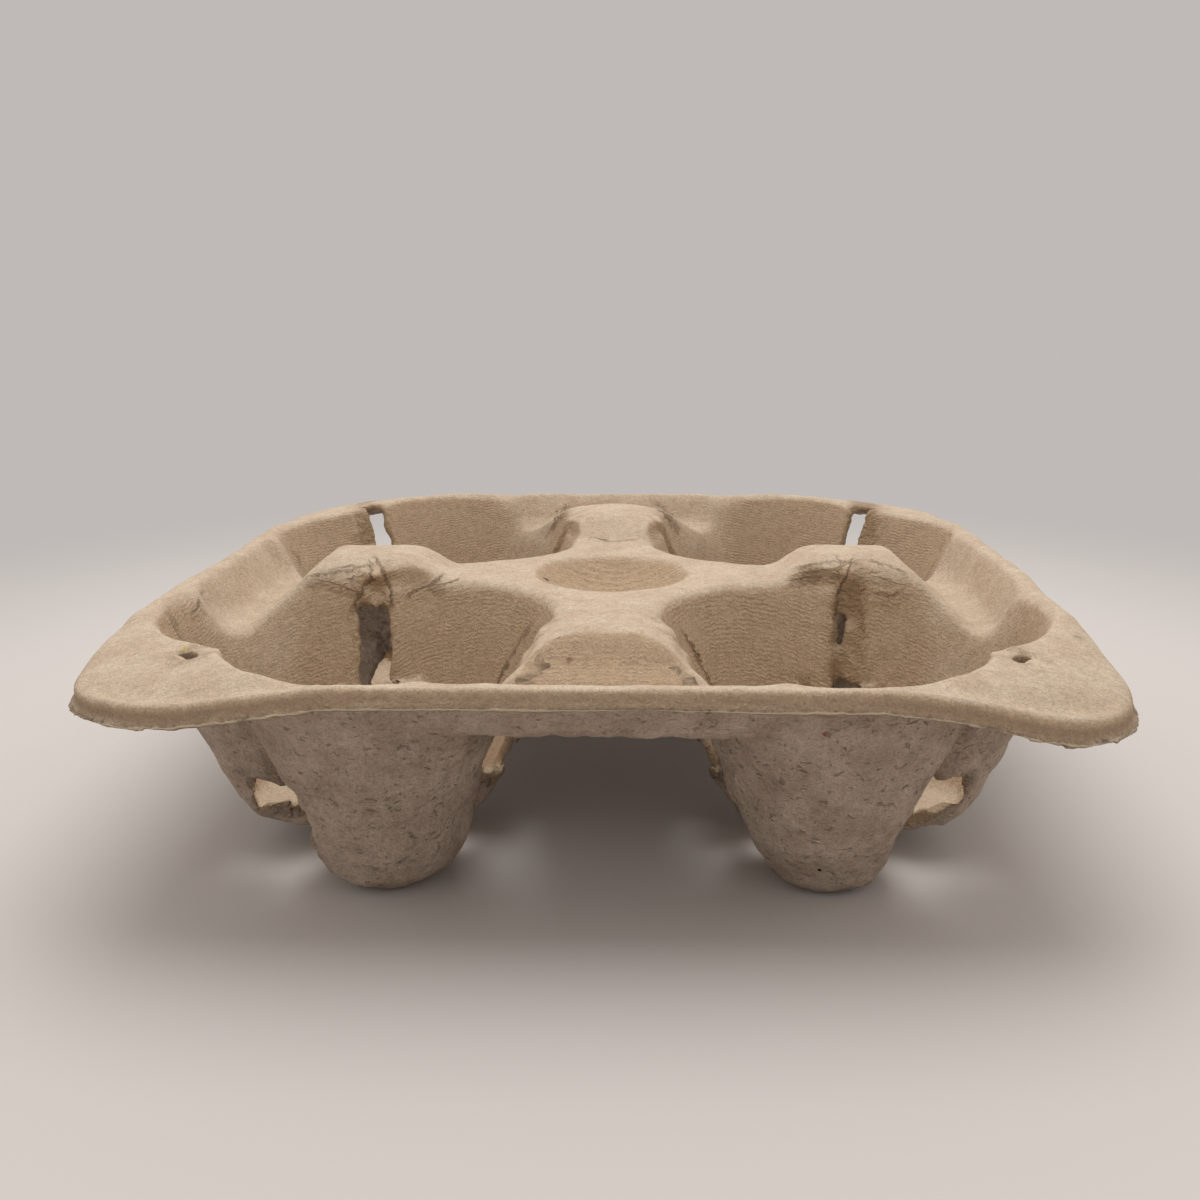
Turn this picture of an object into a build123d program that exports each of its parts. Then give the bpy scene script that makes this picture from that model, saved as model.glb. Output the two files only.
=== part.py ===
"""Moulded pulp carrier for four cups: one thin pressed sheet that stands on rounded feet.

The origin is at the middle of the tray, on the surface it stands on, with +Z up.
Each pocket is three cones that share one mouth. Each cone ends in a rounded foot, and a slot
with a torn window at its lower end parts it from the next.
"""

import os
from math import atan, cos, radians, sin, sqrt

from build123d import *

# Sheet and rim
wall = 2.4
tray_width = 217.0
corner_radius = 34.0
rim_height = 55.5
lip_roll = 4.5
lip_drop = 4.7
corner_fall_run = 27.5
corner_fall_angle = 10.0

# Pockets and their feet, with the ledges left between the mouths and the rim, and around the hub
rim_ledge = 3.5
hub_ledge = 8.87
hub_lobe_offset = 14.0
outer_lobe_offset = 17.5
short_foot_lift = 4.5
foot_radius = 11.6
foot_round = 8.0
mouth_flare = 1.2
mouth_flare_depth = 1.6
hub_lobe_angle = 45
side_lobe_angle = 162
front_lobe_angle = 288

# Slots between the cones, and the windows at their lower ends
slot_foot_reach = 24.0
ridge_slot_width = 7.5
ridge_slot_reach = 38.5
ridge_window_low = 15.0
ridge_window_high = 27.0
corner_slot_width = 6.0
corner_slot_reach = 44.0
corner_window_low = 11.5
corner_window_high = 21.0
window_width = 20.0
window_round = 4.0
ridge_slot_angles = (102, 348)
corner_slot_angle = 225

# Hub with its shallow dimple
hub_height = 52.5
hub_width = 95.0
dimple_radius = 20.9
dimple_depth = 7.5

# Bumps on the ridges between the pockets
bump_height = 58.8
bump_length = 20.0
bump_to_edge = 35.0
bump_width = 14.0
bump_hub_run = 25.5
bump_rim_run = 17.0
bump_side_run = 38.0
bump_round = 5.0

# Troughs between the bumps and the rim
trough_floor = 43.5
trough_floor_to_edge = 12.5
trough_wall_lean = 26.0
trough_width = 72.0
trough_round = 9.0
trough_crease_round = 6.5

# Values worked out from the sizes above
half_width = tray_width / 2
overlap = wall / 2
above = 2 * bump_height
outer_lobe_reach = outer_lobe_offset * -cos(radians(side_lobe_angle))
hub_lobe_reach = hub_lobe_offset * cos(radians(hub_lobe_angle))
pocket_room = half_width - rim_ledge - hub_ledge
spread_room = pocket_room - outer_lobe_reach - hub_lobe_reach - 2 * (foot_radius + mouth_flare)
lobe_spread = spread_room / (rim_height + hub_height - 2 * wall)
wall_on_cone = wall / cos(atan(lobe_spread))
hub_mouth_radius = foot_radius + lobe_spread * (hub_height - wall) + mouth_flare
pocket_offset = hub_ledge + hub_mouth_radius + hub_lobe_reach
corner_fall_start = (half_width - corner_radius) * sqrt(2) + corner_radius - corner_fall_run
bump_start = half_width - bump_to_edge - bump_length
trough_floor_end = half_width - trough_floor_to_edge
dimple_sphere = (dimple_radius**2 + dimple_depth**2) / (2 * dimple_depth)
quarter_turns = (0, 90, 180, 270)
least_upward = 0.5
pocket_middle = Vector(-pocket_offset, -pocket_offset, 0)


def slab(half, radius, top):
    """Rounded square block from below the floor up to a top that falls away at its corners."""
    fall = radians(corner_fall_angle)
    with BuildPart() as form:
        with BuildSketch(Plane.XY.offset(-wall)):
            RectangleRounded(2 * half, 2 * half, radius)
        extrude(amount=top + wall)
        for turn in quarter_turns:
            outward = Vector(sqrt(0.5), sqrt(0.5), 0).rotate(Axis.Z, turn)
            crease = outward * corner_fall_start + Vector(0, 0, top)
            split(
                bisect_by=Plane(crease, z_dir=outward * sin(fall) + Vector(0, 0, cos(fall))),
                keep=Keep.BOTTOM,
            )
    return form.part


def trough(inset):
    """Space between the bump and the rim on the +X side, widened and deepened by inset."""
    start = bump_start + bump_length / 2
    end = trough_floor_end + inset
    with BuildPart() as form:
        with BuildSketch(Plane.XY.offset(trough_floor - inset)) as floor:
            with Locations(((start + end) / 2, 0)):
                Rectangle(end - start, trough_width + 2 * inset)
            fillet(floor.vertices().group_by(Axis.X)[-1], trough_round)
        extrude(amount=above, taper=-trough_wall_lean)
        crease = form.faces().sort_by(Axis.Z)[0].edges().sort_by(Axis.X)[1:]
        fillet(crease, trough_crease_round + inset)
    return form.part


def bump(drop):
    """Hipped rise on the +X ridge, lowered by drop."""
    base_start = bump_start - bump_hub_run
    base_end = bump_start + bump_length + bump_rim_run
    with BuildPart() as form:
        with BuildSketch(Plane.XY.offset(trough_floor - drop)):
            with Locations(((base_start + base_end) / 2, 0)):
                Rectangle(base_end - base_start, bump_width + 2 * bump_side_run)
        with BuildSketch(Plane.XY.offset(bump_height - drop)):
            with Locations((bump_start + bump_length / 2, 0)):
                Rectangle(bump_length, bump_width)
        loft()
        fillet(form.faces().sort_by(Axis.Z)[-1].edges(), bump_round)
    return form.part


def upper_form(inset):
    """Everything below the tray's top face, drawn in and lowered by inset."""
    half = half_width - inset
    block = slab(half, corner_radius - inset, rim_height - inset)
    channel = trough(inset)
    rise = bump(inset)
    arc_reach = half - (corner_radius - inset) * (1 - sqrt(0.5))
    with BuildPart() as form:
        add(block)
        rim_edges = [
            edge
            for edge in form.faces().filter_by(lambda face: face.normal_at().Z > least_upward).edges()
            if max(abs((edge @ 0.5).X), abs((edge @ 0.5).Y)) > arc_reach - overlap
        ]
        fillet(rim_edges, lip_roll - inset)
        with BuildSketch(Plane.XY.offset(hub_height - inset)):
            Rectangle(hub_width, hub_width)
        extrude(amount=above, mode=Mode.SUBTRACT)
        with PolarLocations(0, len(quarter_turns)):
            add(channel, mode=Mode.SUBTRACT)
            add(rise)
    return form.part


def cone(inset, mouth, lift):
    """One cone of a pocket on its own axis, flared at its mouth, with its foot lifted by lift."""
    low = lift + inset * wall / wall_on_cone
    top = mouth - wall + inset * wall / wall_on_cone
    middle = top - mouth_flare_depth
    radius = foot_radius - inset
    with BuildPart() as form:
        with BuildSketch(Plane.XZ):
            with BuildLine():
                Polyline(
                    (0, low),
                    (radius + lobe_spread * low, low),
                    (radius + lobe_spread * middle, middle),
                    (radius + lobe_spread * top + mouth_flare, top),
                    (radius + lobe_spread * top + mouth_flare, above),
                    (0, above),
                    close=True,
                )
            make_face()
        revolve(axis=Axis.Z)
        fillet(form.edges().sort_by(Axis.Z)[0], foot_round - inset)
    return form.part


def pocket(inset):
    """The three joined cones of the front left pocket, in their place."""
    lobes = (
        (hub_lobe_angle, hub_lobe_offset, cone(inset, hub_height, short_foot_lift)),
        (side_lobe_angle, outer_lobe_offset, cone(inset, rim_height, short_foot_lift)),
        (front_lobe_angle, outer_lobe_offset, cone(inset, rim_height, 0)),
    )
    with BuildPart() as form:
        for angle, offset, lobe in lobes:
            with Locations(pocket_middle + Vector(offset, 0, 0).rotate(Axis.Z, angle)):
                add(lobe)
    return form.part


def slot(angle, width, reach, window_low, window_high):
    """Upright cut from the middle of the front left pocket outwards, with its window."""
    outward = Vector(1, 0, 0).rotate(Axis.Z, angle)
    across = outward.rotate(Axis.Z, 90)
    with BuildPart() as form:
        with BuildSketch(Plane(pocket_middle, x_dir=outward, z_dir=-across)):
            with BuildLine():
                Polyline(
                    (0, -wall),
                    (slot_foot_reach, -wall),
                    (reach, hub_height - wall),
                    (reach, above),
                    (0, above),
                    close=True,
                )
            make_face()
        extrude(amount=width / 2, both=True)
        with BuildSketch(Plane(pocket_middle, x_dir=across, z_dir=outward)):
            with Locations((0, (window_low + window_high) / 2)):
                RectangleRounded(window_width, window_high - window_low, window_round)
        extrude(amount=reach)
    return form.part


def pocket_space():
    """The inside of the front left pocket with its three slots."""
    space = pocket(wall_on_cone)
    cuts = [
        slot(angle, ridge_slot_width, ridge_slot_reach, ridge_window_low, ridge_window_high)
        for angle in ridge_slot_angles
    ]
    cuts.append(
        slot(
            corner_slot_angle,
            corner_slot_width,
            corner_slot_reach,
            corner_window_low,
            corner_window_high,
        )
    )
    with BuildPart() as form:
        add(space)
        for cut in cuts:
            add(cut)
    return form.part


def four_times(corner):
    """A front left form and its mirror images in the other three pockets."""
    with BuildPart() as form:
        add(corner)
        mirror(about=Plane.YZ)
        mirror(about=Plane.XZ)
    return form.part


def dimple(drop):
    """Ball that presses the hub's dimple, lowered by drop."""
    with BuildPart() as form:
        with Locations((0, 0, hub_height - dimple_depth + dimple_sphere - drop)):
            Sphere(dimple_sphere)
    return form.part


def under_lip():
    """Ring of space below the rim's turned-down lip."""
    outer = slab(half_width + overlap, corner_radius + overlap, rim_height - lip_drop)
    inner = slab(half_width - wall - overlap, corner_radius - wall - overlap, rim_height)
    with BuildPart() as form:
        add(outer)
        add(inner, mode=Mode.SUBTRACT)
    return form.part


upper = upper_form(0)
lower = upper_form(wall)
pocket_shells = four_times(pocket(0))
pocket_spaces = four_times(pocket_space())
dimple_top = dimple(0)
dimple_under = dimple(wall)
lip_space = under_lip()

# Space under the sheet and outside the pockets
with BuildPart() as hollow:
    add(lower)
    add(pocket_shells, mode=Mode.SUBTRACT)
    add(dimple_under, mode=Mode.SUBTRACT)

# The pressed sheet
with BuildPart() as carrier_tray:
    add(upper)
    add(hollow.part, mode=Mode.SUBTRACT)
    add(lip_space, mode=Mode.SUBTRACT)
    add(pocket_spaces, mode=Mode.SUBTRACT)
    add(dimple_top, mode=Mode.SUBTRACT)
carrier_tray.part.label = "carrier_tray"

os.makedirs("parts", exist_ok=True)
export_step(carrier_tray.part, "parts/carrier_tray.step")
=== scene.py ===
"""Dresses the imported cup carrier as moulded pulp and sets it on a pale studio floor."""
import logging
from dataclasses import dataclass, field
from enum import Enum, IntEnum
from functools import partial
from math import atan, cos, pi, radians, sin
from typing import Callable

import bpy
import numpy as np
from mathutils import Matrix, Vector
from mathutils.bvhtree import BVHTree


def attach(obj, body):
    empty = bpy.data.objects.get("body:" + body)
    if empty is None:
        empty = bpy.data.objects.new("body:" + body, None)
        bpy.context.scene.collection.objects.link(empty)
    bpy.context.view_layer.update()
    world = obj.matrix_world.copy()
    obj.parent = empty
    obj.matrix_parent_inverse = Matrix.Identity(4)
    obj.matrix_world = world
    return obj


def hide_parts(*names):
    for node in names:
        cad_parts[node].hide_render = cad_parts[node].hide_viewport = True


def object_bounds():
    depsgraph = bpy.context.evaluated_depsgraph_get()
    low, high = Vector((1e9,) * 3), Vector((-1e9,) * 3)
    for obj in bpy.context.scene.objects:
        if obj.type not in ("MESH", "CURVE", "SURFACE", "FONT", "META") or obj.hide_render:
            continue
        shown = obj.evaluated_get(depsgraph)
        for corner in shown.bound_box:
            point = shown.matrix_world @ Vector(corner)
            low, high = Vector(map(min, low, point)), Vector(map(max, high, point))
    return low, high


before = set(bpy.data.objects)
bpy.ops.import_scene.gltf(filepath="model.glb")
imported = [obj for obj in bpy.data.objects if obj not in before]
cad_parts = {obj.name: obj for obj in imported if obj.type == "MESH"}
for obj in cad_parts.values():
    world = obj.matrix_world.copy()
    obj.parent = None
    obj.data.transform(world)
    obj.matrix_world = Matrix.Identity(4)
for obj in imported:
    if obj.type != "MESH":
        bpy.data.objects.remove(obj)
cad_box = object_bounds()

log = logging.getLogger("carrier")
Pixel = tuple[float, float]
Span = tuple[float, float]
Array = np.ndarray
Piece = bpy.types.Object
MM = 0.001
POCKETS = ((-1, -1), (1, -1), (-1, 1), (1, 1))
LATTICE_STEPS = np.array((73856093, 19349663, 83492791), dtype=np.int64)
LATTICE_MIX = 1274126177
SEED_STEP = 668265263
SEED_SHIFT = 0.37
CRACK_LAYERS = 3


def linear(hex_colour: str) -> tuple[float, float, float, float]:
    """Turns an sRGB hex colour into linear red, green, blue and alpha.

    Args:
        hex_colour: Six hex digits with a leading hash.

    Returns:
        Linear channels with an alpha of one.
    """
    channels = [int(hex_colour[i:i + 2], 16) / 255 for i in (1, 3, 5)]
    return tuple(c / 12.92 if c <= 0.04045 else ((c + 0.055) / 1.055) ** 2.4 for c in channels) + (1.0,)


def add_node(tree: bpy.types.NodeTree, kind: str, links: dict | None = None, **settings) -> bpy.types.Node:
    """Adds a shader node with its settings and links.

    Args:
        tree: Node tree that takes the node.
        kind: Node type without its ShaderNode prefix.
        links: Input names or numbers with what feeds each: a value, an output socket, or a node,
            which stands for its first output in use.
        settings: Properties of the node itself.

    Returns:
        The new node.
    """
    node = tree.nodes.new("ShaderNode" + kind)
    for name, value in settings.items():
        setattr(node, name, value)
    for name, value in (links or {}).items():
        if isinstance(value, bpy.types.Node):
            value = next(socket for socket in value.outputs if not socket.is_unavailable)
        if isinstance(value, bpy.types.NodeSocket):
            tree.links.new(value, node.inputs[name])
        else:
            node.inputs[name].default_value = value
    return node


def ease(values: Array, low: float, high: float) -> Array:
    """Eases values from zero at low to one at high."""
    t = np.clip((values - low) / (high - low), 0.0, 1.0)
    return t * t * (3 - 2 * t)


def between(values: Array, rise: Span, fall: Span) -> Array:
    """Eases values up to one across the first span and down to zero again across the second."""
    return ease(values, *rise) * (1 - ease(values, *fall))


@dataclass(frozen=True)
class Lumps:
    """Smooth random lumps: their height and width in millimetres, and the number that picks the pattern."""

    height: float
    size: float
    seed: int

    def at(self, points: Array) -> Array:
        """Gives each point its height.

        Args:
            points: Places in millimetres, one row each.

        Returns:
            Heights of either sign, up to the pattern's own.
        """
        spots = points / self.size + SEED_SHIFT * self.seed
        cells = np.floor(spots).astype(np.int64)
        parts = spots - cells
        parts = parts * parts * (3 - 2 * parts)
        heights = np.zeros(len(points))
        for corner in np.ndindex(2, 2, 2):
            mixed = ((cells + corner) * LATTICE_STEPS).sum(axis=1) + self.seed * SEED_STEP
            mixed = ((mixed ^ (mixed >> 13)) * LATTICE_MIX) & 0x7FFFFFFF
            mixed = (mixed ^ (mixed >> 16)) & 0xFFFF
            share = np.where(corner, parts, 1 - parts).prod(axis=1)
            heights += share * (mixed / 0x7FFF - 1)
        return self.height * heights


def heap(points: Array, patterns: tuple[Lumps, ...]) -> Array:
    """Adds up the heights that several patterns of lumps give each point."""
    return sum(pattern.at(points) for pattern in patterns)


@dataclass(frozen=True)
class PhotoCamera:
    """The camera's place and lens, for a square picture of 1200 pixels."""

    picture: int = 1200
    focal_pixels: float = 1207.4
    sensor: float = 36.0
    place: tuple[float, float, float] = (5.9, -314.1, 123.7)
    pitch: float = 14.12
    yaw: float = -1.63
    roll: float = -0.28

    def axes(self) -> tuple[Vector, Vector, Vector]:
        """Works out the camera's right, up and forward directions."""
        pitch, yaw, roll = radians(self.pitch), radians(self.yaw), radians(self.roll)
        forward = Vector((sin(yaw) * cos(pitch), cos(yaw) * cos(pitch), -sin(pitch)))
        level = Vector((cos(yaw), -sin(yaw), 0.0))
        upright = level.cross(forward)
        right = cos(roll) * level + sin(roll) * upright
        up = cos(roll) * upright - sin(roll) * level
        return right, up, forward

    def ray(self, pixel: Pixel) -> tuple[Vector, Vector]:
        """Gives the line of sight through a pixel.

        Args:
            pixel: Column and row in the square picture.

        Returns:
            The ray's start and its direction.
        """
        right, up, forward = self.axes()
        middle = self.picture / 2
        across = (pixel[0] - middle) / self.focal_pixels
        down = (pixel[1] - middle) / self.focal_pixels
        return Vector(self.place) * MM, (forward + across * right - down * up).normalized()

    def build(self) -> Piece:
        """Adds the camera and makes it the scene's own."""
        right, up, forward = self.axes()
        data = bpy.data.cameras.new("studio_camera")
        data.sensor_width = self.sensor
        data.lens = self.sensor * self.focal_pixels / self.picture
        data.clip_start = 0.01
        camera = bpy.data.objects.new("studio_camera", data)
        bpy.context.scene.collection.objects.link(camera)
        turn = Matrix((right, up, -forward)).transposed().to_4x4()
        camera.matrix_world = Matrix.Translation(Vector(self.place) * MM) @ turn
        bpy.context.scene.camera = camera
        return camera


@dataclass(frozen=True)
class FloorFinish:
    """Matt painted board: even, pale and without gloss, fading into the backdrop's grey."""

    colour: str = "#CCC6C2"
    roughness: float = 0.9
    gloss: float = 0.2
    fade_start: float = 170.0
    fade_end: float = 460.0

    def material(self, backdrop: str) -> bpy.types.Material:
        """Makes the floor's material.

        Args:
            backdrop: Hex colour that the far floor fades into, as the camera sees it.

        Returns:
            The material.
        """
        paint = bpy.data.materials.new("matt_painted_board")
        paint.use_nodes = True
        tree = paint.node_tree
        node = partial(add_node, tree)
        shader = tree.nodes["Principled BSDF"]
        shader.inputs["Base Color"].default_value = linear(self.colour)
        shader.inputs["Roughness"].default_value = self.roughness
        shader.inputs["Specular IOR Level"].default_value = self.gloss
        reach = node("VectorMath", {0: node("TexCoord").outputs["Object"]}, operation="LENGTH")
        fade = node(
            "MapRange", {"Value": reach, "From Min": self.fade_start * MM, "From Max": self.fade_end * MM},
            interpolation_type="SMOOTHSTEP",
        )
        seen = node("LightPath").outputs["Is Camera Ray"]
        share = node("Math", {0: fade, 1: seen}, operation="MULTIPLY")
        glow = node("Emission", {"Color": linear(backdrop), "Strength": 1.0})
        mix = node("MixShader", {0: share, 1: shader, 2: glow})
        tree.links.new(mix.outputs[0], tree.nodes["Material Output"].inputs["Surface"])
        return paint


@dataclass
class Studio:
    """Pale floor that fades into a grey backdrop, with soft light from above."""

    backdrop: str = "#BFBAB7"
    floor_half: float = 2000.0
    lamp_place: tuple[float, float, float] = (0.0, 60.0, 620.0)
    lamp_size: float = 560.0
    lamp_power: float = 2.1
    fill_colour: str = "#F2EEEA"
    fill_front: float = 0.57
    fill_back: float = 1.25
    fill_reach: float = 0.8
    finish: FloorFinish = field(default_factory=FloorFinish)

    def build_floor(self) -> Piece:
        """Lays the floor under the tray."""
        bpy.ops.object.select_all(action="DESELECT")
        bpy.ops.mesh.primitive_plane_add(size=2 * self.floor_half * MM)
        floor = bpy.context.object
        floor.name = "studio_floor"
        floor.data.materials.append(self.finish.material(self.backdrop))
        return floor

    def build_lamp(self) -> Piece:
        """Hangs one wide soft lamp over the floor."""
        data = bpy.data.lights.new("overhead_lamp", "AREA")
        data.shape = "SQUARE"
        data.size = self.lamp_size * MM
        data.energy = self.lamp_power
        lamp = bpy.data.objects.new("overhead_lamp", data)
        lamp.location = Vector(self.lamp_place) * MM
        bpy.context.scene.collection.objects.link(lamp)
        return lamp

    def build_fill(self) -> None:
        """Lights the shade from all round, more from the back, and shows the backdrop's grey."""
        world = bpy.data.worlds.new("studio_fill")
        bpy.context.scene.world = world
        world.use_nodes = True
        tree = world.node_tree
        node = partial(add_node, tree)
        sky = tree.nodes["Background"]
        sky.inputs["Color"].default_value = linear(self.fill_colour)
        way = node("SeparateXYZ", {0: node("TexCoord").outputs["Generated"]})
        fill = node(
            "MapRange",
            {"Value": way.outputs["Y"], "From Min": -self.fill_reach, "From Max": self.fill_reach,
             "To Min": self.fill_front, "To Max": self.fill_back},
        )
        tree.links.new(fill.outputs[0], sky.inputs["Strength"])
        shown = node("Background", {"Color": linear(self.backdrop), "Strength": 1.0})
        rays = node("LightPath").outputs
        clear = node("Math", {0: rays["Is Camera Ray"], 1: rays["Is Glossy Ray"]}, operation="MAXIMUM")
        clear = node("Math", {0: clear, 1: rays["Is Transmission Ray"]}, operation="MAXIMUM")
        mix = node("MixShader", {0: clear, 1: sky, 2: shown})
        tree.links.new(mix.outputs[0], tree.nodes["World Output"].inputs["Surface"])


@dataclass(frozen=True)
class Fleck:
    """A small coloured fibre on the pulp, or painted shade in a dent or a hole: where the picture shows it,
    its radius and colour.
    """

    pixel: Pixel
    radius: float
    colour: str


@dataclass(frozen=True)
class Noise:
    """Cloudy noise: the width of its largest blots in millimetres, its octaves and their strength."""

    size: float
    detail: float
    roughness: float = 0.5

    def sockets(self) -> dict[str, float]:
        """Gives the values of a noise node's inputs."""
        return {"Scale": 1 / (self.size * MM), "Detail": self.detail, "Roughness": self.roughness}


@dataclass(frozen=True)
class Tint:
    """A colour, and how strongly it covers what lies below it."""

    colour: str
    strength: float


@dataclass(frozen=True)
class PulpFinish:
    """Moulded pulp: wet paper fibre pressed on a wire screen and dried.

    The eye sees a matt tan felt with paler and darker fibre clouds, fine screen ripples on the
    upper side, and a rougher underside with short slits and dark specks. Painted shade makes the
    underside greyer and darker, and darkens the walls, the dimple, the lip's face, the torn edges and
    the cracks; painted light and shade follow the ripples, and a painted highlight runs along the
    flash. Sizes, depths and heights are in millimetres.
    """

    light: str = "#CEBBA4"
    dark: str = "#B9A188"
    # painted shade on the walls, the dimple and the front bump's slope
    shaded_wall: str = "#B89F84"
    # painted shade: the underside's colours are a greyer, darker copy of the pulp's; its roughness comes from
    # the relief
    under: str = "#C4B09F"
    under_dark: str = "#AE9A88"
    # painted shade down the lip's face
    lip_shade: Tint = Tint("#8E7763", 0.3)
    # painted shade on the torn edges of the upper side
    frayed_and_shaded: Tint = Tint("#A98C6A", 0.5)
    slit: Tint = Tint("#7A624B", 0.3)
    speck: Tint = Tint("#6B5745", 0.5)
    # painted shade in the cracks
    crack: Tint = Tint("#805F40", 0.5)
    # painted highlight: the pale line along the flash at the lip's lower edge
    flash: Tint = Tint("#E4D1B5", 0.7)
    roughness: float = 0.95
    gloss: float = 0.15
    cloud_noise: Noise = Noise(9.0, 3.0)
    mottle_noise: Noise = Noise(1.6, 4.0, 0.65)
    fibre_noise: Noise = Noise(0.45, 3.0, 0.6)
    lump_noise: Noise = Noise(2.8, 2.0)
    drift_noise: Noise = Noise(5.0, 2.0)
    patch_noise: Noise = Noise(6.0, 3.0)
    slit_noise: Noise = Noise(1.9, 3.0, 0.6)
    slit_squash: float = 1.7
    slit_stray: float = 4.0
    speck_pitch: float = 4.0
    ripple_pitch: float = 1.05
    ripple_column: float = 1.0
    ripple_zigzag: float = 0.34
    ripple_drift: float = 2.2
    ripple_jitter: float = 0.9
    crack_core: float = 0.1
    crack_width: float = 0.4
    crack_wander: float = 2.2
    crack_slope: float = 3.0
    fibre_height: float = 0.3
    mottle_height: Span = (0.34, 1.0)
    lump_height: Span = (0.1, 1.2)
    frayed_height: float = 2.2
    ripple_depth: float = 0.09
    slit_depth: float = 0.6
    crack_depth: float = 0.6
    crack_lift: float = 0.55
    flash_height: float = 0.3

    def material(self, flecks: list[tuple[Vector, Fleck]]) -> bpy.types.Material:
        """Makes the tray's material.

        Args:
            flecks: Places of the flecks in metres.

        Returns:
            The material.
        """
        pulp = bpy.data.materials.new("moulded_pulp")
        pulp.use_nodes = True
        tree = pulp.node_tree
        node = partial(add_node, tree)
        soft = {"interpolation_type": "SMOOTHSTEP"}
        colours = {"data_type": "RGBA"}
        times = {"operation": "MULTIPLY"}
        plus = {"operation": "MULTIPLY_ADD"}
        shader = tree.nodes["Principled BSDF"]
        shader.inputs["Roughness"].default_value = self.roughness
        shader.inputs["Specular IOR Level"].default_value = self.gloss
        place = node("TexCoord").outputs["Object"]
        # these attributes carry the side open to the sky, the painted shade on the walls, the torn edges with
        # their painted shade, and the lip
        screen, pressed, frayed_and_shaded, fall = (
            node("Attribute", attribute_name=name).outputs["Fac"]
            for name in ("open_upper_side", "pressed", "frayed_and_shaded", "lip_fall")
        )
        weave, side, near = (
            node("SeparateXYZ", {0: node("Attribute", attribute_name=name).outputs["Vector"]}).outputs
            for name in ("weave_place", "crack_side", "crack_near")
        )
        cloud, mottle, fibre, lump, drift, patches = (
            node("TexNoise", {"Vector": place, **noise.sockets()})
            for noise in (self.cloud_noise, self.mottle_noise, self.fibre_noise, self.lump_noise,
                          self.drift_noise, self.patch_noise)
        )
        felt = node("Math", {0: 1.0, 1: screen}, operation="SUBTRACT")

        # Screen ripples: rows that zigzag a little, worn away in patches and fainter off the walls
        worn = node("MapRange", {"Value": patches, 1: 0.36, 2: 0.64, 3: 0.15, 4: 1.0}, **soft)
        marked = node("MapRange", {"Value": pressed, 1: 0.0, 2: 0.6, 3: 0.1, 4: 1.0})
        column = node("Math", {0: weave["X"], 1: self.ripple_column}, operation="PINGPONG")
        row = node("Math", {0: column, 1: self.ripple_zigzag, 2: weave["Y"]}, **plus)
        for noise, sway in ((drift, self.ripple_drift), (mottle, self.ripple_jitter)):
            row = node("Math", {0: noise, 1: sway, 2: row}, **plus)
        turn = node("Math", {0: row, 1: 2 * pi / self.ripple_pitch}, **times)
        ripple = node("Math", {0: turn}, operation="SINE")
        for share in (worn, marked, weave["Z"], screen):
            ripple = node("Math", {0: ripple, 1: share}, **times)

        # Short level slits on the rough side
        stir = node("VectorMath", {0: drift.outputs["Color"], 1: (0.5,) * 3}, operation="SUBTRACT")
        strayed = node("VectorMath", {0: stir, 1: (self.slit_stray * MM,) * 3, 2: place}, **plus)
        flat = node("Mapping", {"Vector": strayed, "Scale": (1.0, 1.0, self.slit_squash)})
        slit = node("TexNoise", {"Vector": flat, **self.slit_noise.sockets()})
        slit = node("MapRange", {"Value": slit, 1: 0.6, 2: 0.74}, **soft)
        slit = node("Math", {0: slit, 1: felt}, **times)

        # Dark specks of ink and bark
        cells = node("TexVoronoi", {"Vector": place, "Scale": 1 / (self.speck_pitch * MM)})
        chosen = node("SeparateXYZ", {0: cells.outputs["Color"]})
        size = node("MapRange", {"Value": chosen, 1: 0.6, 2: 1.0, 3: 0.0, 4: 0.09})
        specks = node("Math", {0: cells, 1: size}, operation="LESS_THAN")

        # Cracks, broken along their course, with painted shade in them and the sheet lifted a little on one
        # side
        broken = node("MapRange", {"Value": patches, 1: 0.36, 2: 0.56, 3: 0.3, 4: 1.0}, **soft)
        stray = node("Math", {0: mottle, 1: 0.5}, operation="SUBTRACT")
        split, lift = 0.0, 0.0
        for layer in range(CRACK_LAYERS):
            away = node("Math", {0: stray, 1: self.crack_wander, 2: side[layer]}, **plus)
            apart = node("Math", {0: away}, operation="ABSOLUTE")
            line = node(
                "MapRange", {"Value": apart, 1: self.crack_core, 2: self.crack_width, 3: 1.0, 4: 0.0}, **soft
            )
            line = node("Math", {0: line, 1: near[layer]}, **times)
            split = node("Math", {0: line, 1: split}, operation="MAXIMUM")
            edge = node("MapRange", {"Value": away, 1: -0.25, 2: 0.1})
            fade = node("MapRange", {"Value": away, 1: 0.0, 2: self.crack_slope, 3: 1.0, 4: 0.0}, **soft)
            edge = node("Math", {0: edge, 1: fade}, **times)
            lift = node("Math", {0: edge, 1: near[layer], 2: lift}, **plus)
        # where the cracks take painted shade
        split = node("Math", {0: split, 1: broken}, **times)

        # Rough lip, with painted shade down its face and a painted highlight along the thin flash at its
        # lower edge
        brink = node("Math", {0: mottle, 1: 0.16, 2: fall}, **plus)
        # painted highlight: a pale line along the flash at the lip's lower edge
        flash = node("MapRange", {"Value": brink, 1: 0.92, 2: 0.96}, **soft)
        below = node("MapRange", {"Value": brink, 1: 1.01, 2: 1.06, 3: 1.0, 4: 0.0}, **soft)
        flash = node("Math", {0: flash, 1: below}, **times)
        lip = node("MapRange", {"Value": fall, 1: 0.15, 2: 0.5}, **soft)
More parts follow.
